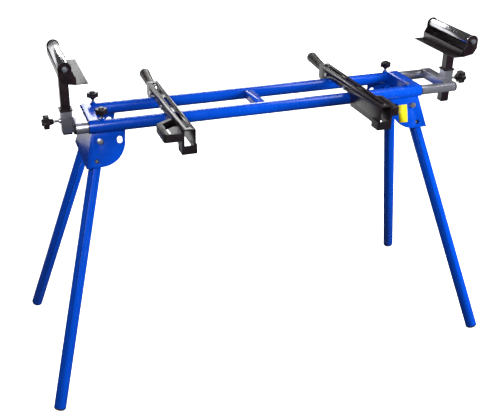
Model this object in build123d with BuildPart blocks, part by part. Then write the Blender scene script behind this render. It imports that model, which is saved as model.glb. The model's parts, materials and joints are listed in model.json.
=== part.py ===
from build123d import *
import os
from math import cos, radians, sin, tan

# Folding saw stand: two rails on four splayed legs, two slotted saw arms across the rails,
# and a roller support on an extending frame at each end.
# Millimetres, +X along the rails, +Y away from the front, +Z up, floor at Z = 0.

# ---------------------------------------------------------------- driving dimensions
RAIL_LENGTH = 1100.0
RAIL_SPACING = 148.0            # between the two rail axes
RAIL_AXIS_Z = 837.5
RAIL_OD = 38.0
TUBE_WALL = 1.5
RAIL_MID_X = -4.8               # puts the origin under the middle of the whole stand

LEG_OD = 38.0
LEG_SPLAY_X = 14.83             # degrees outward along the rails, within the plane of the bracket ear
LEG_SPLAY_Y = 17.27             # degrees outward across the rails: the tilt of the bracket ears
LEG_PIVOT_X = 522.0             # from the middle of the rails
LEG_PIVOT_Y = 63.5
LEG_PIVOT_Z = 786.7
LEG_ABOVE_PIVOT = 18.0
LEG_FOLD = 104.8                # degrees from standing to lying along the rails
PIVOT_SET = 1.8                 # degrees the pivots stand off square, so folded legs lie side by side
LEG_GAP = 3.4                   # leg tube to ear

SHEET = 3.0
BRACKET_TOP_Z = 818.5
BRACKET_BOTTOM_Z = 721.0
BRACKET_TOP_X = 545.6
BRACKET_BOTTOM_X = 571.0
EAR_RADIUS = 76.5
LOCK_RADIUS = 60.0              # snap button to leg pivot
BUTTON_R = 6.5
BUTTON_HOLE_R = 7.5
PIVOT_HOLE_R = 6.4
FOLD_HOLE = (16.0, 21.0)         # width and height of the upright oval

TUBE_OD = 32.0                  # extension tubes
TUBE_LENGTH = 520.0
PULL_OUT = {"left": 0.0, "right": 88.5}
TUBE_END_X = 588.5              # outer end of an extension tube when it is pushed home
TIE_INNER_X = {"left": 519.0, "right": 510.0}
TIE_OUTER_X = 548.0
LOCK_KNOB_X = {"left": 510.0, "right": 501.0}

SOCKET = 34.0
SOCKET_WALL = 2.5
SOCKET_BOTTOM_Z = 804.0
SOCKET_TOP_Z = 873.0
SOCKET_KNOB_Z = 840.0
POST = 28.0
POST_WALL = 2.0
ROLLER_Z = {"left": 1034.0, "right": 998.5}
ROLLER_OUT = 6.0                # roller axis outboard of the post axis
ROLLER_OD = 34.0
HEAD_Y = 10.0                   # middle of the roller head, behind the post axis
EAR_HALF = 122.0                # outer face of a cradle ear from the middle of the head
CRADLE_EAR_R = 19.5
POST_LENGTH = 193.0
POST_TOP_BELOW = 43.0           # top of the post below the roller axis

ARM_X = {"left": -302.0, "right": 307.0}
ARM_WIDTH = 36.0
ARM_TOP_Z = 884.0
ARM_DEPTH = 49.0
ARM_BACK_Y = 150.0
ARM_FRONT_Y = -290.0
SLOT_WIDTH = 9.0
LEVER_PIVOT_Y = 90.0
LEVER_PIVOT_Z = 865.0
SPACER_BOLT_Y = -48.0

RUNNING = 0.05                  # radial clearance of pins in their holes
FREE = 0.4                      # clearance between pieces that pass each other
SIDES = {"left": -1, "right": 1}
ROWS = {"front": -1, "back": 1}

RAIL_R = RAIL_OD / 2
RAIL_Y = RAIL_SPACING / 2
RAIL_TOP_Z = RAIL_AXIS_Z + RAIL_R
LEG_R = LEG_OD / 2

os.makedirs("parts", exist_ok=True)


def save(piece, name):
    piece.part.label = name
    export_step(piece.part, f"parts/{name}.step")


def along_x(x, y=0.0, z=0.0):
    """A plane facing +X at a place given from the middle of the rails."""
    return Plane(origin=(RAIL_MID_X + x, y, z), x_dir=(0, 1, 0), z_dir=(1, 0, 0))


def along_y(y, x=0.0, z=0.0):
    """A plane facing +Y whose local axes are -X and +Z."""
    return Plane(origin=(RAIL_MID_X + x, y, z), x_dir=(-1, 0, 0), z_dir=(0, 1, 0))


def level(z, x=0.0, y=0.0):
    """A plane facing +Z."""
    return Plane(origin=(RAIL_MID_X + x, y, z), x_dir=(1, 0, 0), z_dir=(0, 0, 1))


def tube(plane, length, od, wall):
    """A round tube as a finished part."""
    with BuildPart() as piece:
        with BuildSketch(plane):
            Circle(od / 2)
            Circle(od / 2 - wall, mode=Mode.SUBTRACT)
        extrude(amount=length)
    return piece


def cut_pin(plane, radius, start, end):
    """Cut a round hole along a plane's normal in the part being built."""
    with BuildSketch(plane.offset(start)) as hole:
        Circle(radius)
    extrude(hole.sketch, amount=end - start, mode=Mode.SUBTRACT)


def add_pin(plane, radius, start, end):
    """Add a round bar along a plane's normal to the part being built."""
    with BuildSketch(plane.offset(start)) as bar:
        Circle(radius)
    extrude(bar.sketch, amount=end - start)


# ---------------------------------------------------------------- leg geometry
def ear_normal(row):
    """Outward normal of the front or back ears and leg planes."""
    return Vector(0, row * cos(radians(LEG_SPLAY_Y)), sin(radians(LEG_SPLAY_Y)))


def leg_direction(side, row):
    """From the pivot down to the foot."""
    across = cos(radians(LEG_SPLAY_X))
    return Vector(
        side * sin(radians(LEG_SPLAY_X)),
        row * across * sin(radians(LEG_SPLAY_Y)),
        -across * cos(radians(LEG_SPLAY_Y)),
    )


def pivot_axis(side, row):
    """Leg pivot axis, outward: set off square towards the foot at the right and away from it at the left."""
    along_leg = leg_direction(side, row) * sin(radians(PIVOT_SET)) * side
    return ear_normal(row) * cos(radians(PIVOT_SET)) + along_leg


def pivot_point(side, row):
    return Vector(RAIL_MID_X + side * LEG_PIVOT_X, row * LEG_PIVOT_Y, LEG_PIVOT_Z)


FOOT_ROUND = 7.0
LEG_TILT_COS = cos(radians(LEG_SPLAY_X)) * cos(radians(LEG_SPLAY_Y))
LEG_TILT_SIN = (1 - LEG_TILT_COS**2) ** 0.5
FOOT_END_Z = FOOT_ROUND * (1 - LEG_TILT_COS) + (LEG_R - FOOT_ROUND) * LEG_TILT_SIN
LEG_REACH = (LEG_PIVOT_Z - FOOT_END_Z) / LEG_TILT_COS    # pivot to the end of the foot
FOOT_SOLE = 8.0
FOOT_PLUG = 20.0


# ---------------------------------------------------------------- frame
LOCK_SCREW_R = 4.0
LOCK_NUT_R = 8.0
LOCK_NUT_H = 6.0

for row_name, row in ROWS.items():
    with BuildPart() as rail:
        with BuildSketch(along_x(-RAIL_LENGTH / 2, row * RAIL_Y, RAIL_AXIS_Z)):
            Circle(RAIL_R)
            Circle(RAIL_R - TUBE_WALL, mode=Mode.SUBTRACT)
        extrude(amount=RAIL_LENGTH)
        for side_name, side in SIDES.items():
            seat = level(RAIL_AXIS_Z, side * LOCK_KNOB_X[side_name], row * RAIL_Y)
            cut_pin(seat, LOCK_SCREW_R + RUNNING, 0, RAIL_OD)
    save(rail, f"{row_name}_rail")

CROSSBAR_X = -3.0
CROSSBAR_WIDTH = 32.0
CROSSBAR_TOP_Z = 851.0
CROSSBAR_DEPTH = 20.0
with BuildPart() as crossbar:
    with BuildSketch(along_y(-RAIL_Y, CROSSBAR_X, CROSSBAR_TOP_Z - CROSSBAR_DEPTH / 2)):
        Rectangle(CROSSBAR_WIDTH, CROSSBAR_DEPTH)
        with Locations((0, -SHEET)):
            Rectangle(CROSSBAR_WIDTH - 2 * SHEET, CROSSBAR_DEPTH, mode=Mode.SUBTRACT)
    extrude(amount=RAIL_SPACING)
    for row in ROWS.values():
        cut_pin(along_x(-CROSSBAR_WIDTH * 2, row * RAIL_Y, RAIL_AXIS_Z), RAIL_R, 0, 4 * CROSSBAR_WIDTH)
save(crossbar, "middle_crossbar")

TIE_SHEET = 2.0
TIE_HALF = 75.0
TIE_INNER_LIP = 32.0
TIE_OUTER_LIP = 10.0
for side_name, side in SIDES.items():
    tie_middle = side * (TIE_INNER_X[side_name] + TIE_OUTER_X) / 2
    tie_width = TIE_OUTER_X - TIE_INNER_X[side_name]
    with BuildPart() as tie_plate:
        with BuildSketch(level(RAIL_TOP_Z, tie_middle)):
            RectangleRounded(tie_width, 2 * TIE_HALF, 4)
        extrude(amount=TIE_SHEET)
        for edge, depth in ((-side, TIE_INNER_LIP), (side, TIE_OUTER_LIP)):
            with BuildSketch(level(RAIL_TOP_Z, tie_middle + edge * (tie_width - TIE_SHEET) / 2)):
                Rectangle(TIE_SHEET, RAIL_SPACING)
            extrude(amount=-depth)
        for row in ROWS.values():
            cut_pin(along_x(-RAIL_LENGTH, row * RAIL_Y, RAIL_AXIS_Z), RAIL_R, 0, 2 * RAIL_LENGTH)
    save(tie_plate, f"{side_name}_tie_plate")

EAR_OFFSET = LEG_R + LEG_GAP + SHEET      # leg axis plane to the outer face of an ear
EAR_TOP_Y = LEG_PIVOT_Y + EAR_OFFSET * cos(radians(LEG_SPLAY_Y)) - (
    BRACKET_TOP_Z - LEG_PIVOT_Z - EAR_OFFSET * sin(radians(LEG_SPLAY_Y))
) * tan(radians(LEG_SPLAY_Y))
EAR_PIVOT_DROP = (BRACKET_TOP_Z - LEG_PIVOT_Z - EAR_OFFSET * sin(radians(LEG_SPLAY_Y))) / cos(radians(LEG_SPLAY_Y))
EAR_HEIGHT = (BRACKET_TOP_Z - BRACKET_BOTTOM_Z) / cos(radians(LEG_SPLAY_Y))
EAR_BOTTOM_Y = EAR_TOP_Y + EAR_HEIGHT * sin(radians(LEG_SPLAY_Y))
EAR_INNER_TOP_X = 441.0
SADDLE = 8.0                              # sheet above the bracket's top line, trimmed to the rail


def ear_plane(row):
    """Outer face of an ear, origin on the bracket's top line; local x is -row * X and local y is up the sheet."""
    return Plane(
        origin=(RAIL_MID_X, row * EAR_TOP_Y, BRACKET_TOP_Z),
        x_dir=(-row, 0, 0),
        z_dir=ear_normal(row),
    )


for side_name, side in SIDES.items():
    slope = (BRACKET_BOTTOM_X - BRACKET_TOP_X) / EAR_HEIGHT
    panel_rise = ((BRACKET_BOTTOM_X - BRACKET_TOP_X) ** 2 + (BRACKET_TOP_Z - BRACKET_BOTTOM_Z) ** 2) ** 0.5
    panel_normal = Vector(
        side * (BRACKET_TOP_Z - BRACKET_BOTTOM_Z) / panel_rise, 0, (BRACKET_BOTTOM_X - BRACKET_TOP_X) / panel_rise
    )
    panel_plane = Plane(
        origin=(RAIL_MID_X + side * BRACKET_TOP_X, 0, BRACKET_TOP_Z),
        x_dir=(0, side, 0),
        z_dir=panel_normal,
    )
    with BuildPart() as bracket:
        with BuildSketch(panel_plane):
            with BuildLine():
                Polyline(
                    (-EAR_TOP_Y, 0), (EAR_TOP_Y, 0), (EAR_BOTTOM_Y, -panel_rise), (-EAR_BOTTOM_Y, -panel_rise), close=True
                )
            make_face()
        extrude(amount=-SHEET)
        for row in ROWS.values():
            turn = -row * side            # local x of the ear for a distance out from the middle of the rails
            with BuildSketch(ear_plane(row)):
                with BuildLine():
                    top = (turn * (BRACKET_TOP_X - slope * SADDLE), SADDLE)
                    corner = (turn * BRACKET_BOTTOM_X, -EAR_HEIGHT)
                    arc_low = (turn * LEG_PIVOT_X, -EAR_PIVOT_DROP - EAR_RADIUS)
                    arc_mid = (
                        turn * (LEG_PIVOT_X - EAR_RADIUS * sin(radians(45))),
                        -EAR_PIVOT_DROP - EAR_RADIUS * cos(radians(45)),
                    )
                    arc_high = (turn * (LEG_PIVOT_X - EAR_RADIUS), -EAR_PIVOT_DROP)
                    inner = (turn * EAR_INNER_TOP_X, SADDLE)
                    Polyline(inner, top, corner, arc_low)
                    ThreePointArc(arc_low, arc_mid, arc_high)
                    Line(arc_high, inner)
                make_face()
                with Locations((turn * LEG_PIVOT_X, -EAR_PIVOT_DROP)):
                    Circle(PIVOT_HOLE_R, mode=Mode.SUBTRACT)
                with Locations((turn * (LEG_PIVOT_X - LOCK_RADIUS), -EAR_PIVOT_DROP)):
                    SlotOverall(FOLD_HOLE[1], FOLD_HOLE[0], rotation=90, mode=Mode.SUBTRACT)
                button_x = LEG_PIVOT_X + LOCK_RADIUS * sin(radians(LEG_SPLAY_X))
                with Locations((turn * button_x, -EAR_PIVOT_DROP - LOCK_RADIUS * cos(radians(LEG_SPLAY_X)))):
                    Circle(BUTTON_HOLE_R, mode=Mode.SUBTRACT)
            extrude(amount=-SHEET)
        for row in ROWS.values():
            cut_pin(along_x(-RAIL_LENGTH, row * RAIL_Y, RAIL_AXIS_Z), RAIL_R, 0, 2 * RAIL_LENGTH)
    save(bracket, f"{side_name}_leg_bracket")

PIVOT_BOLT_R = 5.0
BOLT_HEAD_GAP = 0.4
with BuildPart() as pivot_bolts:
    for side in SIDES.values():
        for row in ROWS.values():
            axis = pivot_axis(side, row)
            bolt = Plane(origin=pivot_point(side, row), x_dir=(side, 0, 0.3), z_dir=axis)
            add_pin(bolt, PIVOT_BOLT_R, -LEG_R - 11, EAR_OFFSET + BOLT_HEAD_GAP)
            with BuildSketch(bolt.offset(EAR_OFFSET + BOLT_HEAD_GAP)):
                RegularPolygon(radius=9.6, side_count=6)
            extrude(amount=6.4)
            with BuildSketch(bolt.offset(-LEG_R - FREE)):
                RegularPolygon(radius=9.6, side_count=6)
                Circle(PIVOT_BOLT_R + RUNNING, mode=Mode.SUBTRACT)
            extrude(amount=-8)
            with BuildSketch(bolt.offset(LEG_R + FREE)):
                Circle(10)
                Circle(PIVOT_BOLT_R + RUNNING, mode=Mode.SUBTRACT)
            extrude(amount=LEG_GAP - 2 * FREE)
save(pivot_bolts, "leg_pivot_bolts")

COLLAR_LIP = 2.0
COLLAR_DEPTH = 26.0
with BuildPart() as collars:
    for side in SIDES.values():
        for row in ROWS.values():
            end = along_x(side * RAIL_LENGTH / 2, row * RAIL_Y, RAIL_AXIS_Z)
            with BuildSketch(end):
                Circle(RAIL_R)
                Circle(TUBE_OD / 2 + FREE, mode=Mode.SUBTRACT)
            extrude(amount=side * COLLAR_LIP)
            with BuildSketch(end):
                Circle(RAIL_R - TUBE_WALL)
                Circle(TUBE_OD / 2 + FREE, mode=Mode.SUBTRACT)
            extrude(amount=-side * COLLAR_DEPTH)
save(collars, "rail_collars")

with BuildPart() as lock_nuts:
    for side_name, side in SIDES.items():
        for row in ROWS.values():
            seat = level(RAIL_AXIS_Z, side * LOCK_KNOB_X[side_name], row * RAIL_Y)
            with BuildSketch(seat.offset(RAIL_R / 2)):
                Circle(LOCK_NUT_R)
                Circle(LOCK_SCREW_R + RUNNING, mode=Mode.SUBTRACT)
            extrude(amount=RAIL_R / 2 + LOCK_NUT_H)
    for row in ROWS.values():
        cut_pin(along_x(-RAIL_LENGTH, row * RAIL_Y, RAIL_AXIS_Z), RAIL_R, 0, 2 * RAIL_LENGTH)
save(lock_nuts, "lock_weld_nuts")


# ---------------------------------------------------------------- legs
BUTTON_SUNK = 0.6               # how far a pressed button stands out of the leg tube
BUTTON_STEM = 9.0
for side_name, side in SIDES.items():
    for row_name, row in ROWS.items():
        direction = leg_direction(side, row)
        pivot = pivot_point(side, row)
        run = Plane(origin=pivot, x_dir=(0, 1, 0), z_dir=direction)
        hinge = Plane(origin=pivot, z_dir=pivot_axis(side, row))
        press = Plane(origin=pivot + direction * LOCK_RADIUS, z_dir=ear_normal(row))
        with BuildPart() as leg:
            with BuildSketch(run.offset(-LEG_ABOVE_PIVOT)):
                Circle(LEG_R)
                Circle(LEG_R - TUBE_WALL, mode=Mode.SUBTRACT)
            extrude(amount=LEG_ABOVE_PIVOT + LEG_REACH - FOOT_SOLE)
            cut_pin(hinge, PIVOT_BOLT_R + RUNNING, -LEG_OD, LEG_OD)
            cut_pin(press, BUTTON_R + FREE, 0, LEG_OD)
        save(leg, f"leg_{row_name}_{side_name}")

        with BuildPart() as foot:
            with BuildSketch(run.offset(LEG_REACH)):
                Circle(LEG_R)
            extrude(amount=-FOOT_SOLE)
            fillet(foot.faces().sort_by(Axis(pivot, direction))[-1].edges(), FOOT_ROUND)
            with BuildSketch(run.offset(LEG_REACH - FOOT_SOLE)):
                Circle(LEG_R - TUBE_WALL)
            extrude(amount=-FOOT_PLUG)
        save(foot, f"foot_{row_name}_{side_name}")

        with BuildPart() as button:
            add_pin(press, BUTTON_R, LEG_R + BUTTON_SUNK - BUTTON_STEM, LEG_R + BUTTON_SUNK)
            fillet(button.faces().sort_by(Axis(pivot, ear_normal(row)))[-1].edges(), 3)
        save(button, f"snap_button_{row_name}_{side_name}")


# ---------------------------------------------------------------- knobs
def lobed_knob(plane, radius, lobes, neck, thick):
    """A moulded knob with rounded lobes on a neck; the plane's normal points from the screw to the cap."""
    lobe_r = radius * sin(radians(180 / lobes)) * 0.74
    with BuildPart() as knob:
        with BuildSketch(plane):
            Circle(radius * 0.36)
        with BuildSketch(plane.offset(neck)):
            Circle(radius * 0.5)
        loft()
        with BuildSketch(plane.offset(neck)):
            Circle(radius * 0.72)
            with PolarLocations(radius - lobe_r, lobes):
                Circle(lobe_r)
        extrude(amount=thick)
        rims = knob.edges().filter_by(lambda e: abs(plane.to_local_coords(e).center().Z - neck - thick) < 0.01)
        fillet(rims, thick * 0.16)
        with BuildSketch(plane.offset(neck + thick)):
            Circle(radius * 0.5)
        extrude(amount=thick * 0.3, taper=20)
    return knob


LOCK_SHANK = 15.0               # bare screw between the rail and its knob
LOCK_TIP = 0.4
LOCK_TIP_Z = TUBE_OD / 2 - RAIL_R + LOCK_TIP
for side_name, row_name in (("left", "front"), ("left", "back"), ("right", "back")):
    seat = level(RAIL_TOP_Z, SIDES[side_name] * LOCK_KNOB_X[side_name], ROWS[row_name] * RAIL_Y)
    knob = lobed_knob(seat.offset(LOCK_SHANK), 18, 4, 7, 14)
    with BuildPart() as screw:
        add_pin(seat, LOCK_SCREW_R, LOCK_TIP_Z, LOCK_SHANK)
    clamp = Compound(children=[knob.part, screw.part])
    clamp.label = f"lock_knob_{row_name}_{side_name}"
    export_step(clamp, f"parts/lock_knob_{row_name}_{side_name}.step")

LOCK_BOLT_HEAD_Z = LOCK_NUT_H + 0.5
with BuildPart() as lock_bolt:
    seat = level(RAIL_TOP_Z, LOCK_KNOB_X["right"], -RAIL_Y)
    add_pin(seat, LOCK_SCREW_R, LOCK_TIP_Z, LOCK_BOLT_HEAD_Z)
    with BuildSketch(seat.offset(LOCK_BOLT_HEAD_Z)):
        RegularPolygon(radius=7.5, side_count=6)
    extrude(amount=6)
save(lock_bolt, "lock_bolt_front_right")


# ---------------------------------------------------------------- extension frames
CHANNEL_WIDTH = 36.0
CHANNEL_SHEET = 2.0
CHANNEL_DEPTH = 24.0
CHANNEL_HALF = 79.0
TUBE_CAP = 7.0
COLLAR_HEIGHT = 5.0
SOCKET_NUT_R = 8.0
SOCKET_NUT_H = 6.0
SOCKET_SCREW_R = 4.0
SOCKET_SHANK = 21.5

for side_name, side in SIDES.items():
    end_x = TUBE_END_X + PULL_OUT[side_name]
    socket_x = end_x + SOCKET / 2
    tube_top_z = RAIL_AXIS_Z + TUBE_OD / 2
    with BuildPart() as tubes:
        for row in ROWS.values():
            with BuildSketch(along_x(side * end_x, row * RAIL_Y, RAIL_AXIS_Z)):
                Circle(TUBE_OD / 2)
                Circle(TUBE_OD / 2 - TUBE_WALL, mode=Mode.SUBTRACT)
            extrude(amount=-side * TUBE_LENGTH)
    save(tubes, f"{side_name}_extension_tubes")

    with BuildPart() as caps:
        for row in ROWS.values():
            end = along_x(side * end_x, row * RAIL_Y, RAIL_AXIS_Z)
            with BuildSketch(end):
                Circle(TUBE_OD / 2)
            extrude(amount=side * TUBE_CAP)
            with BuildSketch(end):
                Circle(TUBE_OD / 2 - TUBE_WALL)
            extrude(amount=-side * 14)
        fillet(caps.edges().group_by(Axis.X)[-1 if side > 0 else 0], 4)
    save(caps, f"{side_name}_tube_caps")

    channel_x = side * (end_x - CHANNEL_WIDTH / 2)
    with BuildPart() as channel:
        with BuildSketch(level(tube_top_z, channel_x)):
            RectangleRounded(CHANNEL_WIDTH, 2 * CHANNEL_HALF, 3)
        extrude(amount=CHANNEL_SHEET)
        for edge in (-1, 1):
            flange_x = channel_x + edge * (CHANNEL_WIDTH - CHANNEL_SHEET) / 2
            with BuildSketch(level(tube_top_z, flange_x)):
                Rectangle(CHANNEL_SHEET, 2 * (RAIL_Y - TUBE_OD / 2) - 2)
            extrude(amount=-CHANNEL_DEPTH)
    save(channel, f"{side_name}_cross_channel")

    with BuildPart() as socket:
        with BuildSketch(level(SOCKET_BOTTOM_Z, side * socket_x)):
            RectangleRounded(SOCKET, SOCKET, 3)
            RectangleRounded(SOCKET - 2 * SOCKET_WALL, SOCKET - 2 * SOCKET_WALL, 1, mode=Mode.SUBTRACT)
        extrude(amount=SOCKET_TOP_Z - SOCKET_BOTTOM_Z)
        add_pin(along_x(side * (socket_x + SOCKET / 2), 0, SOCKET_KNOB_Z), SOCKET_NUT_R, 0, side * SOCKET_NUT_H)
        cut_pin(along_x(side * socket_x, 0, SOCKET_KNOB_Z), SOCKET_SCREW_R + RUNNING, 0, side * SOCKET)
    save(socket, f"{side_name}_post_socket")

    with BuildPart() as collar:
        with BuildSketch(level(SOCKET_TOP_Z, side * socket_x)):
            RectangleRounded(SOCKET + 6, SOCKET + 6, 4)
            Rectangle(POST + 2 * FREE, POST + 2 * FREE, mode=Mode.SUBTRACT)
        extrude(amount=COLLAR_HEIGHT)
        fillet(collar.faces().sort_by(Axis.Z)[-1].outer_wire().edges(), 1.5)
    save(collar, f"{side_name}_socket_collar")

    knob_seat = Plane(
        origin=(RAIL_MID_X + side * (socket_x + SOCKET / 2), 0, SOCKET_KNOB_Z), x_dir=(0, 1, 0), z_dir=(side, 0, 0)
    )
    knob = lobed_knob(knob_seat.offset(SOCKET_SHANK), 22, 6, 13.5, 17)
    with BuildPart() as screw:
        add_pin(knob_seat, SOCKET_SCREW_R, -(SOCKET - POST) / 2 + LOCK_TIP, SOCKET_SHANK)
    clamp = Compound(children=[knob.part, screw.part])
    clamp.label = f"socket_knob_{side_name}"
    export_step(clamp, f"parts/socket_knob_{side_name}.step")

    # roller post and head
    roller_z = ROLLER_Z[side_name]
    roller_x = side * (socket_x + ROLLER_OUT)
    post_top_z = roller_z - POST_TOP_BELOW
    with BuildPart() as post:
        with BuildSketch(level(post_top_z, side * socket_x)):
            RectangleRounded(POST, POST, 2)
            RectangleRounded(POST - 2 * POST_WALL, POST - 2 * POST_WALL, 1, mode=Mode.SUBTRACT)
        extrude(amount=-POST_LENGTH)
    save(post, f"{side_name}_roller_post")

    with BuildPart() as cradle:
        trough = Plane(
            origin=(RAIL_MID_X + side * socket_x, HEAD_Y + side * EAR_HALF, roller_z), x_dir=(side, 0, 0), z_dir=(0, -side, 0)
        )
        with BuildSketch(trough):
            with BuildLine():
                Polyline(
                    (-22, -43), (14, -43), (25.5, -24), (25.5, -8), (23.5, -8), (23.5, -23.4), (13.5, -40), (-22, -40),
                    close=True,
                )
            make_face()
        extrude(amount=2 * EAR_HALF)
        for row in ROWS.values():
            ear = Plane(
                origin=(RAIL_MID_X + side * socket_x, HEAD_Y + row * EAR_HALF, roller_z),
                x_dir=(side, 0, 0),
                z_dir=(0, -side, 0),
            )
            with BuildSketch(ear):
                with BuildLine():
                    Polyline(
                        (ROLLER_OUT + CRADLE_EAR_R, 0), (ROLLER_OUT + CRADLE_EAR_R, -24), (14, -43), (-22, -50),
                        (-22, -28), (ROLLER_OUT - CRADLE_EAR_R, -12), (ROLLER_OUT - CRADLE_EAR_R, 0), close=True,
                    )
                make_face()
                with Locations((ROLLER_OUT, 0)):
                    Circle(CRADLE_EAR_R)
                    Circle(5.0, mode=Mode.SUBTRACT)
            extrude(amount=row * side * SHEET)
    save(cradle, f"{side_name}_roller_cradle")

    PLATE_HALF = 119.5
    with BuildPart() as stop_plate:
        with BuildSketch(level(roller_z - 50, side * (socket_x - 22 - 18), HEAD_Y)):
            Rectangle(36, 2 * PLATE_HALF)
        extrude(amount=2.5)
        with BuildSketch(level(roller_z - 50, side * (socket_x - 22 - 1.25), HEAD_Y)):
            Rectangle(2.5, 2 * PLATE_HALF)
        extrude(amount=22)
    save(stop_plate, f"{side_name}_stop_plate")

    roller_axis = Plane(
        origin=(RAIL_MID_X + roller_x, HEAD_Y, roller_z), x_dir=(1, 0, 0), z_dir=(0, -1, 0)
    )
    AXLE_R = 4.9
    with BuildPart() as axle:
        add_pin(roller_axis, AXLE_R, -EAR_HALF - 9, EAR_HALF + 9)
        for row in ROWS.values():
            with BuildSketch(roller_axis.offset(row * EAR_HALF)):
                RegularPolygon(radius=8.5, side_count=6)
            extrude(amount=row * 6)
    save(axle, f"{side_name}_roller_axle")

    ROLLER_HALF = 117.0
    with BuildPart() as roller:
        with BuildSketch(roller_axis.offset(-ROLLER_HALF + 3)):
            Circle(ROLLER_OD / 2)
            Circle(ROLLER_OD / 2 - 2, mode=Mode.SUBTRACT)
        extrude(amount=2 * (ROLLER_HALF - 3))
    save(roller, f"{side_name}_roller_tube")

    with BuildPart() as bearings:
        for row in ROWS.values():
            with BuildSketch(roller_axis.offset(row * (ROLLER_HALF - 3))):
                Circle(ROLLER_OD / 2)
                Circle(AXLE_R + RUNNING, mode=Mode.SUBTRACT)
            extrude(amount=row * 3)
            with BuildSketch(roller_axis.offset(row * (ROLLER_HALF - 3))):
                Circle(ROLLER_OD / 2 - 2)
                Circle(AXLE_R + RUNNING, mode=Mode.SUBTRACT)
            extrude(amount=-row * 12)
    save(bearings, f"{side_name}_roller_bearings")


# ---------------------------------------------------------------- saw arms
ARM_SHEET = 3.0
FRONT_HOOK_Y = -96.0
HOOK_BOTTOM_Z = 820.0
FOOT_BACK_Y = -248.0
FLANGE_BOTTOM_Z = ARM_TOP_Z - ARM_DEPTH
SMALL_HOLE_Y = 122.0
SHORT_SLOT = (13.0, 108.0)
LONG_SLOT = (-270.0, -15.0)
PIVOT_PIN_R = 4.0
FOOT_WIDTH = 45.0
FOOT_BOTTOM_Z = 810.0
HANDLE_TOP_Z = 876.0
HANDLE_BOTTOM_Z = 852.0
HANDLE_OUT = {"left": 56.0, "right": 28.0}
HANDLE_BAND = {"left": 17.0, "right": 10.0}
HANDLE_SLANT = 0.68
HANDLE_BACK_Y = -162.0
RIVET_POINTS = ((-276.0, 864.0), (-262.0, 841.0))

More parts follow.
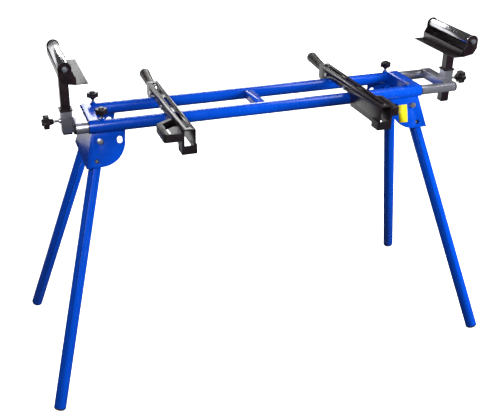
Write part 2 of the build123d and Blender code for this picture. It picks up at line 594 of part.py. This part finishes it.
for side_name, side in SIDES.items():
    arm_x = ARM_X[side_name]
    arm_half = ARM_WIDTH / 2
    with BuildPart() as arm:
        with BuildSketch(along_x(arm_x - arm_half)):
            with BuildLine():
                Polyline(
                    (ARM_BACK_Y, ARM_TOP_Z), (ARM_BACK_Y, FLANGE_BOTTOM_Z + 8), (ARM_BACK_Y - 8, FLANGE_BOTTOM_Z),
                    (RAIL_Y, FLANGE_BOTTOM_Z), (RAIL_Y, RAIL_TOP_Z + FREE), (-RAIL_Y, RAIL_TOP_Z + FREE),
                    (-RAIL_Y, HOOK_BOTTOM_Z), (FOOT_BACK_Y, HOOK_BOTTOM_Z), (FOOT_BACK_Y, FLANGE_BOTTOM_Z),
                    (ARM_FRONT_Y, FLANGE_BOTTOM_Z), (ARM_FRONT_Y, ARM_TOP_Z), close=True,
                )
            make_face()
            for row in ROWS.values():
                with Locations((row * RAIL_Y, RAIL_AXIS_Z)):
                    Circle(RAIL_R + FREE, mode=Mode.SUBTRACT)
            with Locations((FRONT_HOOK_Y + 10, RAIL_AXIS_Z - 12)):
                Rectangle(20.1, 26, mode=Mode.SUBTRACT)
        extrude(amount=ARM_WIDTH)
        fillet(arm.edges().filter_by(Axis.Y).group_by(Axis.Z)[-1], 2.5)
        with BuildSketch(along_x(arm_x - arm_half + ARM_SHEET)):
            with Locations(((ARM_BACK_Y + ARM_FRONT_Y) / 2, ARM_TOP_Z - ARM_SHEET - 50)):
                Rectangle(ARM_BACK_Y - ARM_FRONT_Y + 20, 100)
        extrude(amount=ARM_WIDTH - 2 * ARM_SHEET, mode=Mode.SUBTRACT)
        for low, high in (SHORT_SLOT, LONG_SLOT):
            with BuildSketch(level(ARM_TOP_Z + 1, arm_x, (low + high) / 2)):
                SlotOverall(high - low, SLOT_WIDTH, rotation=90)
            extrude(amount=-ARM_SHEET - 2, mode=Mode.SUBTRACT)
        cut_pin(level(ARM_TOP_Z, arm_x, SMALL_HOLE_Y), SLOT_WIDTH / 2, -10, 1)
        for y, z in ((LEVER_PIVOT_Y, LEVER_PIVOT_Z), (SPACER_BOLT_Y, LEVER_PIVOT_Z)):
            cut_pin(along_x(arm_x, y, z), PIVOT_PIN_R, -ARM_WIDTH, ARM_WIDTH)
    save(arm, f"{side_name}_arm_channel")

    with BuildPart() as moulding:
        with BuildSketch(level(FOOT_BOTTOM_Z, arm_x, (FOOT_BACK_Y + ARM_FRONT_Y) / 2)):
            RectangleRounded(FOOT_WIDTH, FOOT_BACK_Y - ARM_FRONT_Y, 2)
        extrude(amount=FLANGE_BOTTOM_Z + 2 - FOOT_BOTTOM_Z)
        with BuildSketch(level(FLANGE_BOTTOM_Z, arm_x, (FOOT_BACK_Y + ARM_FRONT_Y) / 2)):
            Rectangle(ARM_WIDTH, 100)
        extrude(amount=100, mode=Mode.SUBTRACT)
        with BuildSketch(level(FOOT_BOTTOM_Z + 5, arm_x, FOOT_BACK_Y - 4)):
            Rectangle(ARM_WIDTH - 8, 68)
        extrude(amount=100, mode=Mode.SUBTRACT)
        face_x = side * arm_half
        outer_x = side * (arm_half + HANDLE_OUT[side_name])
        inner_x = outer_x - side * HANDLE_BAND[side_name]
        corner_y = HANDLE_BACK_Y - HANDLE_SLANT * HANDLE_OUT[side_name]
        with BuildSketch(level(HANDLE_BOTTOM_Z, arm_x)):
            with BuildLine():
                Polyline(
                    (face_x, ARM_FRONT_Y), (outer_x - side * 6, ARM_FRONT_Y), (outer_x, ARM_FRONT_Y + 6),
                    (outer_x, corner_y), (face_x, HANDLE_BACK_Y), close=True,
                )
            make_face()
            with BuildLine():
                Polyline(
                    (face_x, ARM_FRONT_Y + 7), (inner_x, ARM_FRONT_Y + 7), (inner_x, corner_y - 4),
                    (face_x, HANDLE_BACK_Y - 14), close=True,
                )
            make_face(mode=Mode.SUBTRACT)
        extrude(amount=HANDLE_TOP_Z - HANDLE_BOTTOM_Z)
        with BuildSketch(along_x(arm_x + face_x)):
            with Locations(((ARM_FRONT_Y + FOOT_BACK_Y) / 2, (FOOT_BOTTOM_Z + HANDLE_TOP_Z) / 2)):
                Rectangle(FOOT_BACK_Y - ARM_FRONT_Y, HANDLE_TOP_Z - FOOT_BOTTOM_Z)
        extrude(amount=side * (FOOT_WIDTH / 2 - arm_half))
    save(moulding, f"{side_name}_arm_foot_and_handle")

    with BuildPart() as bolts:
        for y, z in ((LEVER_PIVOT_Y, LEVER_PIVOT_Z), (SPACER_BOLT_Y, LEVER_PIVOT_Z)):
            middle = along_x(arm_x, y, z)
            add_pin(middle, PIVOT_PIN_R, -arm_half - 3, arm_half + 3)
            for end in (-1, 1):
                with BuildSketch(middle.offset(end * arm_half)):
                    RegularPolygon(radius=7.2, side_count=6)
                extrude(amount=end * 4.5)
        for y, z in RIVET_POINTS:
            add_pin(along_x(arm_x + side * FOOT_WIDTH / 2, y, z), 4.5, 0, side * 2)
    save(bolts, f"{side_name}_arm_bolts")

    LEVER_HALF = 6.0
    LEVER_END_Y = 246.0
    NOSE_Y = RAIL_Y + RAIL_R + FREE
    with BuildPart() as lever:
        with BuildSketch(along_x(arm_x - LEVER_HALF)):
            with BuildLine():
                Polyline(
                    (LEVER_PIVOT_Y - 8, 862), (NOSE_Y, 850), (NOSE_Y, 828), (NOSE_Y + 9, 826), (NOSE_Y + 11, 848),
                    (138, 849), (150, 860.7), (LEVER_END_Y, 871.7), (LEVER_END_Y, 879.7), (150, 868.7),
                    (141, 862), (106, 862), (100, 868), close=True,
                )
            make_face()
            with Locations((LEVER_PIVOT_Y, LEVER_PIVOT_Z)):
                Circle(10.5)
                Circle(PIVOT_PIN_R + RUNNING, mode=Mode.SUBTRACT)
        extrude(amount=2 * LEVER_HALF)
    save(lever, f"{side_name}_release_lever")

    grip_start = Vector(RAIL_MID_X + arm_x, 156, 865.4)
    grip_run = Vector(0, cos(radians(6.6)), sin(radians(6.6)))
    grip_plane = Plane(origin=grip_start, x_dir=(1, 0, 0), z_dir=grip_run)
    with BuildPart() as grip:
        with BuildSketch(grip_plane):
            Circle(14)
        with BuildSketch(grip_plane.offset(55)):
            Circle(15.5)
        with BuildSketch(grip_plane.offset(106)):
            Circle(18)
        loft()
        fillet(grip.faces().sort_by(Axis.Y)[-1].edges(), 8)
        with BuildSketch(grip_plane.offset(-1)):
            Rectangle(2 * LEVER_HALF + 0.2, 11.2)
        extrude(amount=93, mode=Mode.SUBTRACT)
    save(grip, f"{side_name}_lever_grip")
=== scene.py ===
import json
import math

import bpy
from mathutils import Matrix, Vector


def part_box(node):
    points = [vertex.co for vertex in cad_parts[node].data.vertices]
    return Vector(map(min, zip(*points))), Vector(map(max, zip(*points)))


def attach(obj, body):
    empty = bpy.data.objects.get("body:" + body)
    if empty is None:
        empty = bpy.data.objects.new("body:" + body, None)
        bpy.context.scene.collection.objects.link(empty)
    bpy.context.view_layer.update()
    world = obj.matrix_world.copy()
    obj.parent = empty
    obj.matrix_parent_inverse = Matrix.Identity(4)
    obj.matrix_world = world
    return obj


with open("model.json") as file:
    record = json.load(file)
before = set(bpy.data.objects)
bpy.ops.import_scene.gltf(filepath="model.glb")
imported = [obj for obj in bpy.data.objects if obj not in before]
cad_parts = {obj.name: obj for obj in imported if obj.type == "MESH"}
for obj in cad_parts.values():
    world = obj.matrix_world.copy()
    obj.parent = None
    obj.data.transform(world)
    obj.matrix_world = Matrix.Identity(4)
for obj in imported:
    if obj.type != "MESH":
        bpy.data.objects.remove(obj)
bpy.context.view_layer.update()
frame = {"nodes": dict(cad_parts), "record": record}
nodes = frame["nodes"]

# Metres, in the frame's own axes: +X along the rails, +Y away from the front, +Z up, floor at Z = 0.

SIDES = {"left": -1, "right": 1}

# Edges of every piece
SHARP_ANGLE = math.radians(32)  # a steeper edge than this is rounded
CAD_EDGE = 0.0005               # rounded off the CAD nodes' sharp edges
WELD_GAP = 0.00001              # corners closer than this are one corner

# Knobs: the length of screw from its end to the plastic
RAIL_SCREW = 0.0175
SOCKET_SCREW = 0.0235
SCREW_BLEND = 0.0001            # half the width of the change from zinc to plastic

# Label on the front ear of the right-hand leg bracket
EAR_TILT = math.radians(17.27)  # lean of the ear from upright
EAR_SHEET = 0.003
LABEL_WIDTH = 0.032
LABEL_HEIGHT = 0.058
LABEL_THICKNESS = 0.0004
LABEL_GAP = 0.00005             # between the sticker and the paint
LABEL_UP_EAR = 0.0515           # from the ear's lower edge to the label's middle
LABEL_FROM_END = 0.085          # from the bracket's outer end to the label's middle

# Plugs in the feet of the roller posts
PLUG_INSET = 0.0022             # from the post's outside to the plug
PLUG_LIFT = 0.0005              # from the post's foot up to the plug's lower face
PLUG_HEIGHT = 0.012             # from the post's foot up to the plug's upper face
PLUG_EDGE = 0.0006

# Grip ribs on the arms' side handles
RIB_COUNT = 9
RIB_PITCH = 0.008
RIB_START = 0.016               # from the handle's front to the first rib
RIB_WIDTH = 0.003
RIB_DEPTH = 0.002
RIB_FOOT = 0.021                # below the handle's top
RIB_HEAD = 0.003                # below the handle's top
RIB_EDGE = 0.0004

# Stage
FLOOR_SIZE = 60
FLOOR_GLOW = 0.95
SKY_LIGHT = 0.05                # what the sky lights the part with
SKY_SHOWN = 1.0                 # what the camera sees of the sky

# Camera
CAMERA_PLACE = (-0.8765, -2.2794, 1.7269)
CAMERA_HEADING = math.radians(16.7302)  # clockwise from +Y, seen from above
CAMERA_PITCH = math.radians(-27.4268)   # below level
CAMERA_ROLL = math.radians(-0.2643)
LENS_MM = 57.69
SENSOR_MM = 36.0
SHIFT_ACROSS = 0.1003
SHIFT_UP = -0.0126


# ---------------------------------------------------------------- shader helpers
def fill_in(made, **values):
    """Sets a shader node's inputs or settings by name, with _ for each space."""
    for name, value in values.items():
        socket = name.replace("_", " ")
        if socket in made.inputs:
            made.inputs[socket].default_value = value
        else:
            setattr(made, name, value)


def node(tree, kind, **values):
    """A new shader node, with its inputs or settings filled in."""
    made = tree.nodes.new(kind)
    fill_in(made, **values)
    return made


def wire(tree, shader, **sources):
    """Links colours or numbers to the shader's inputs by name, with _ for each space."""
    for name, source in sources.items():
        tree.links.new(source, shader.inputs[name.replace("_", " ")])


def blank(name):
    """A new material with its node tree, its shader and the object's own coordinates."""
    material = bpy.data.materials.new(name)
    material.use_nodes = True
    tree = material.node_tree
    shader = tree.nodes["Principled BSDF"]
    place = node(tree, "ShaderNodeTexCoord").outputs["Object"]
    return material, tree, shader, place


def stretched(tree, place, scale):
    """The object's coordinates, scaled differently along each axis."""
    mapping = node(tree, "ShaderNodeMapping", Scale=scale)
    tree.links.new(place, mapping.inputs["Vector"])
    return mapping.outputs["Vector"]


def noise(tree, place, scale, detail=4.0):
    """A cloudy value; scale is in clouds a metre."""
    made = node(tree, "ShaderNodeTexNoise", Scale=scale, Detail=detail, Roughness=0.55)
    tree.links.new(place, made.inputs["Vector"])
    return made.outputs["Fac"]


def ramp(tree, source, low, high, start=0.35, end=0.65):
    """Turns a noise value into a colour between two others."""
    made = node(tree, "ShaderNodeValToRGB")
    for element, position, colour in zip(made.color_ramp.elements, (start, end), (low, high)):
        element.position = position
        element.color = (*colour, 1)
    tree.links.new(source, made.inputs["Fac"])
    return made.outputs["Color"]


def spread(tree, source, low, high, start=0.3, end=0.7):
    """Turns a value between start and end into a number between low and high."""
    made = node(tree, "ShaderNodeMapRange", From_Min=start, From_Max=end, To_Min=low, To_Max=high)
    tree.links.new(source, made.inputs["Value"])
    return made.outputs["Result"]


def mixed(tree, mask, first, second):
    """One colour where the mask is 0 and the other where it is 1."""
    made = node(tree, "ShaderNodeMix", data_type="RGBA")
    tree.links.new(mask, made.inputs["Factor"])
    tree.links.new(first, made.inputs["A"])
    tree.links.new(second, made.inputs["B"])
    return made.outputs["Result"]


def relief(tree, shader, height, depth):
    """Bump on the shader from a noise value; depth is in metres."""
    bump = node(tree, "ShaderNodeBump", Strength=1.0, Distance=depth)
    tree.links.new(height, bump.inputs["Height"])
    wire(tree, shader, Normal=bump.outputs["Normal"])


# ---------------------------------------------------------------- materials
def gloss_paint():
    """Blue powder coat: faint orange peel, and patches of drawn-out lighter marks."""
    material, tree, shader, place = blank("gloss_blue_paint")
    clean = ramp(tree, noise(tree, place, 6), (0.0, 0.052, 0.45), (0.0, 0.062, 0.53))
    streaks = noise(tree, stretched(tree, place, (30, 160, 160)), 6, 8)
    scuffed = ramp(tree, streaks, (0.0, 0.056, 0.47), (0.012, 0.082, 0.58))
    mask = spread(tree, noise(tree, place, 38, 5), 0.0, 0.5, 0.6, 0.78)
    rough = spread(tree, noise(tree, place, 24), 0.2, 0.32)
    wire(tree, shader, Base_Color=mixed(tree, mask, clean, scuffed), Roughness=rough)
    fill_in(shader, Coat_Weight=0.3, Coat_Roughness=0.08, Specular_IOR_Level=0.35)
    relief(tree, shader, noise(tree, place, 420, 2), 0.00006)
    return material


def black_paint():
    """Black powder coat with a fine texture."""
    material, tree, shader, place = blank("black_powder_coat")
    colour = ramp(tree, noise(tree, place, 30, 6), (0.007, 0.004, 0.006), (0.016, 0.009, 0.012))
    rough = spread(tree, noise(tree, place, 60), 0.26, 0.42)
    wire(tree, shader, Base_Color=colour, Roughness=rough)
    fill_in(shader, Coat_Weight=0.25, Coat_Roughness=0.15)
    relief(tree, shader, noise(tree, place, 900, 2), 0.00005)
    return material


def zinc():
    """Zinc plate: a lilac-grey metal with cloudy patches and drawn lines."""
    material, tree, shader, place = blank("zinc_plate")
    light_tint = (0.56, 0.57, 0.66)
    dark_tint = tuple(0.78 * part for part in light_tint)
    colour = ramp(tree, noise(tree, place, 14, 6), dark_tint, light_tint, 0.3, 0.7)
    rough = spread(tree, noise(tree, place, 40, 5), 0.24, 0.42)
    wire(tree, shader, Base_Color=colour, Roughness=rough)
    fill_in(shader, Metallic=0.85)
    relief(tree, shader, noise(tree, stretched(tree, place, (8, 120, 120)), 8, 4), 0.00008)
    return material


def chrome():
    """Chromed roller tube with faint rings from turning."""
    material, tree, shader, place = blank("chrome_plate")
    colour = ramp(tree, noise(tree, place, 10, 3), (0.70, 0.70, 0.76), (0.82, 0.82, 0.86))
    rough = spread(tree, noise(tree, place, 30, 5), 0.15, 0.24)
    wire(tree, shader, Base_Color=colour, Roughness=rough)
    fill_in(shader, Metallic=1.0)
    relief(tree, shader, noise(tree, stretched(tree, place, (1, 300, 1)), 4, 2), 0.000006)
    return material


def moulded(name, low, high, rough=(0.38, 0.55), grain=700):
    """Moulded plastic or rubber with a fine grain."""
    material, tree, shader, place = blank(name)
    colour = ramp(tree, noise(tree, place, 45, 6), low, high)
    wire(tree, shader, Base_Color=colour, Roughness=spread(tree, noise(tree, place, 55, 4), *rough))
    relief(tree, shader, noise(tree, place, grain, 2), 0.00008)
    return material


def knob_material(name, axis, edge, outward):
    """Black plastic beyond a place along an axis, and the zinc screw short of it."""
    material, tree, shader, place = blank(name)
    apart = node(tree, "ShaderNodeSeparateXYZ")
    tree.links.new(place, apart.inputs["Vector"])
    blend = outward * SCREW_BLEND
    plastic = spread(tree, apart.outputs[axis], 0.0, 1.0, edge - blend, edge + blend)
    black = ramp(tree, noise(tree, place, 60, 6), (0.008, 0.006, 0.008), (0.022, 0.016, 0.018))
    bright = ramp(tree, noise(tree, place, 40, 4), (0.42, 0.42, 0.47), (0.60, 0.60, 0.65))
    wire(
        tree, shader,
        Base_Color=mixed(tree, plastic, bright, black),
        Metallic=spread(tree, plastic, 1.0, 0.0, 0.0, 1.0),
        Roughness=spread(tree, noise(tree, place, 80, 4), 0.26, 0.42),
    )
    relief(tree, shader, noise(tree, place, 700, 2), 0.00006)
    return material


def yellow_label():
    """A plain yellow sticker, slightly uneven."""
    material, tree, shader, place = blank("plain_yellow_label")
    colour = ramp(tree, noise(tree, place, 70, 5), (0.72, 0.60, 0.01), (0.85, 0.72, 0.02))
    rough = spread(tree, noise(tree, place, 60, 3), 0.3, 0.45)
    wire(tree, shader, Base_Color=colour, Roughness=rough)
    relief(tree, shader, noise(tree, place, 300, 2), 0.00003)
    return material


FINISHES = {
    "blue_paint": gloss_paint(),
    "black_paint": black_paint(),
    "zinc_plate": zinc(),
    "chrome_plate": chrome(),
    "black_plastic": moulded("black_plastic", (0.006, 0.004, 0.006), (0.014, 0.010, 0.012)),
    "brown_plastic": moulded("brown_black_grip", (0.014, 0.008, 0.008), (0.030, 0.017, 0.016), (0.3, 0.45)),
    "black_rubber": moulded("black_rubber", (0.010, 0.008, 0.010), (0.026, 0.020, 0.022), (0.6, 0.8), 500),
}


# ---------------------------------------------------------------- finish the CAD nodes
def dress(obj, material, edge=CAD_EDGE):
    """Gives an object its material, smooth curved faces and softly rounded edges."""
    obj.data.materials.clear()
    obj.data.materials.append(material)
    weld = obj.modifiers.new("weld", "WELD")
    weld.merge_threshold = WELD_GAP
    if edge:
        bevel = obj.modifiers.new("soft_edges", "BEVEL")
        bevel.width = edge
        bevel.segments = 2
        bevel.limit_method = "ANGLE"
        bevel.angle_limit = SHARP_ANGLE
        bevel.harden_normals = True
    obj.data.shade_smooth()


def finish_for(name, slot):
    """The material of a CAD node: its slot's, or for a knob, plastic on a zinc screw."""
    low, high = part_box(name)
    if name.startswith("lock_knob"):
        return knob_material(f"{name}_finish", "Z", low.z + RAIL_SCREW, 1)
    if name.startswith("socket_knob"):
        side = SIDES[name.split("_")[-1]]
        edge = low.x + SOCKET_SCREW if side > 0 else high.x - SOCKET_SCREW
        return knob_material(f"{name}_finish", "X", edge, side)
    return FINISHES[slot]


def finish_cad_nodes():
    slots = {row["node"]: row["material_slot"] for row in frame["record"]["subparts"]}
    for name, obj in nodes.items():
        dress(obj, finish_for(name, slots[name]))


# ---------------------------------------------------------------- added pieces
def block(name, low, high, body, edge):
    """A softly rounded box of black plastic, from two of its corners."""
    low, high = Vector(low), Vector(high)
    bpy.ops.mesh.primitive_cube_add(size=1, location=(low + high) / 2)
    piece = bpy.context.object
    piece.name = name
    piece.scale = high - low
    bpy.ops.object.transform_apply(location=True, scale=True)
    dress(piece, FINISHES["black_plastic"], edge)
    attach(piece, body)


def label_patch():
    """A plain sticker on the front ear of the right-hand bracket, in the plane of the ear."""
    low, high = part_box("right_leg_bracket")
    along = Vector((1, 0, 0))
    up = Vector((0, math.sin(EAR_TILT), math.cos(EAR_TILT)))
    out = Vector((0, -math.cos(EAR_TILT), math.sin(EAR_TILT)))
    foot_of_ear = Vector((0, low.y, low.z + EAR_SHEET * math.sin(EAR_TILT)))
    middle = foot_of_ear + up * LABEL_UP_EAR + out * (LABEL_THICKNESS / 2 + LABEL_GAP)
    middle.x = high.x - LABEL_FROM_END
    bpy.ops.mesh.primitive_cube_add(size=1)
    piece = bpy.context.object
    piece.name = "plain_label"
    size = Matrix.Diagonal((LABEL_WIDTH, LABEL_HEIGHT, LABEL_THICKNESS, 1))
    turn = Matrix((along, up, out)).transposed().to_4x4()
    piece.data.transform(Matrix.Translation(middle) @ turn @ size)
    dress(piece, yellow_label(), 0)
    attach(piece, "stand")


def post_plugs():
    """A plastic plug in the foot of each roller post."""
    for side in SIDES:
        low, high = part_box(f"{side}_roller_post")
        near = (low.x + PLUG_INSET, low.y + PLUG_INSET, low.z + PLUG_LIFT)
        far = (high.x - PLUG_INSET, high.y - PLUG_INSET, low.z + PLUG_HEIGHT)
        block(f"{side}_post_plug", near, far, f"{side}_post", PLUG_EDGE)


def handle_ribs():
    """Grip ribs down the outer face of each arm's side handle."""
    for side_name, side in SIDES.items():
        low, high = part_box(f"{side_name}_arm_foot_and_handle")
        face = low.x if side < 0 else high.x
        inside = face - side * RIB_DEPTH
        for index in range(RIB_COUNT):
            y = low.y + RIB_START + index * RIB_PITCH
            near = (min(face, inside), y, high.z - RIB_FOOT)
            far = (max(face, inside), y + RIB_WIDTH, high.z - RIB_HEAD)
            block(f"{side_name}_handle_rib_{index + 1}", near, far, f"{side_name}_arm", RIB_EDGE)


# ---------------------------------------------------------------- floor, light and camera
def floor():
    """A pale, faintly glowing floor, which stays out of the part's reflections and bounce light."""
    material, tree, shader, place = blank("pale_floor")
    colour = ramp(tree, noise(tree, place, 3, 3), (0.90, 0.90, 0.91), (0.92, 0.92, 0.93))
    wire(tree, shader, Base_Color=colour)
    fill_in(shader, Roughness=0.9, Specular_IOR_Level=0.1)
    fill_in(shader, Emission_Color=(1.0, 1.0, 1.0, 1), Emission_Strength=FLOOR_GLOW)
    bpy.ops.mesh.primitive_plane_add(size=FLOOR_SIZE)
    plane = bpy.context.object
    plane.name = "floor"
    plane.data.materials.append(material)
    plane.visible_diffuse = False
    plane.visible_glossy = False


def sky():
    """A white sky that lights the part only faintly."""
    world = bpy.data.worlds.new("studio")
    world.use_nodes = True
    tree = world.node_tree
    background = tree.nodes["Background"]
    fill_in(background, Color=(1.0, 1.0, 1.0, 1))
    ray = node(tree, "ShaderNodeLightPath")
    strength = spread(tree, ray.outputs["Is Camera Ray"], SKY_LIGHT, SKY_SHOWN, 0.0, 1.0)
    wire(tree, background, Strength=strength)
    bpy.context.scene.world = world


def soft_light(name, place, target, width, height, power, mirrored=True):
    """An area light; one that isn't mirrored lights the part without showing in its gloss."""
    data = bpy.data.lights.new(name, "AREA")
    data.shape = "RECTANGLE"
    data.size = width
    data.size_y = height
    data.energy = power
    lamp = bpy.data.objects.new(name, data)
    bpy.context.scene.collection.objects.link(lamp)
    lamp.location = place
    lamp.visible_glossy = mirrored
    lamp.visible_camera = False
    lamp.rotation_mode = "QUATERNION"
    lamp.rotation_quaternion = (Vector(target) - Vector(place)).to_track_quat("-Z", "Y")


def lights():
    """Key at the left and fill at the right; horizon and ceiling are there to be reflected."""
    middle = (0, 0, 0.7)
    soft_light("key", (-2.2, -3.0, 3.2), middle, 1.0, 1.8, 130)
    soft_light("fill", (3.2, -2.4, 1.6), middle, 0.7, 2.4, 280, mirrored=False)
    soft_light("top", (0, 0.6, 3.6), middle, 2.4, 0.8, 18, mirrored=False)
    soft_light("back", (0.65, 4.0, 2.6), middle, 2.9, 1.2, 75)
    soft_light("horizon", (-1.4, 3.6, -0.1), (-1.4, 0, -0.1), 3.8, 3.6, 44)
    soft_light("ceiling", (2.2, -0.3, 3.4), (2.0, 0, 0.8), 1.6, 1.6, 40)


def camera():
    data = bpy.data.cameras.new("camera")
    data.sensor_width = SENSOR_MM
    data.lens = LENS_MM
    data.shift_x = SHIFT_ACROSS
    data.shift_y = SHIFT_UP
    data.clip_start = 0.05
    data.clip_end = 100.0
    obj = bpy.data.objects.new("camera", data)
    bpy.context.scene.collection.objects.link(obj)
    heading = Matrix.Rotation(-CAMERA_HEADING, 4, "Z")
    level = math.radians(90)    # a camera that isn't turned looks straight down
    pitch = Matrix.Rotation(level + CAMERA_PITCH, 4, "X")
    roll = Matrix.Rotation(CAMERA_ROLL, 4, "Z")
    obj.matrix_world = Matrix.Translation(CAMERA_PLACE) @ heading @ pitch @ roll
    bpy.context.scene.camera = obj


finish_cad_nodes()
label_patch()
post_plugs()
handle_ribs()
floor()
sky()
lights()
camera()
bpy.context.scene.view_settings.view_transform = "Standard"
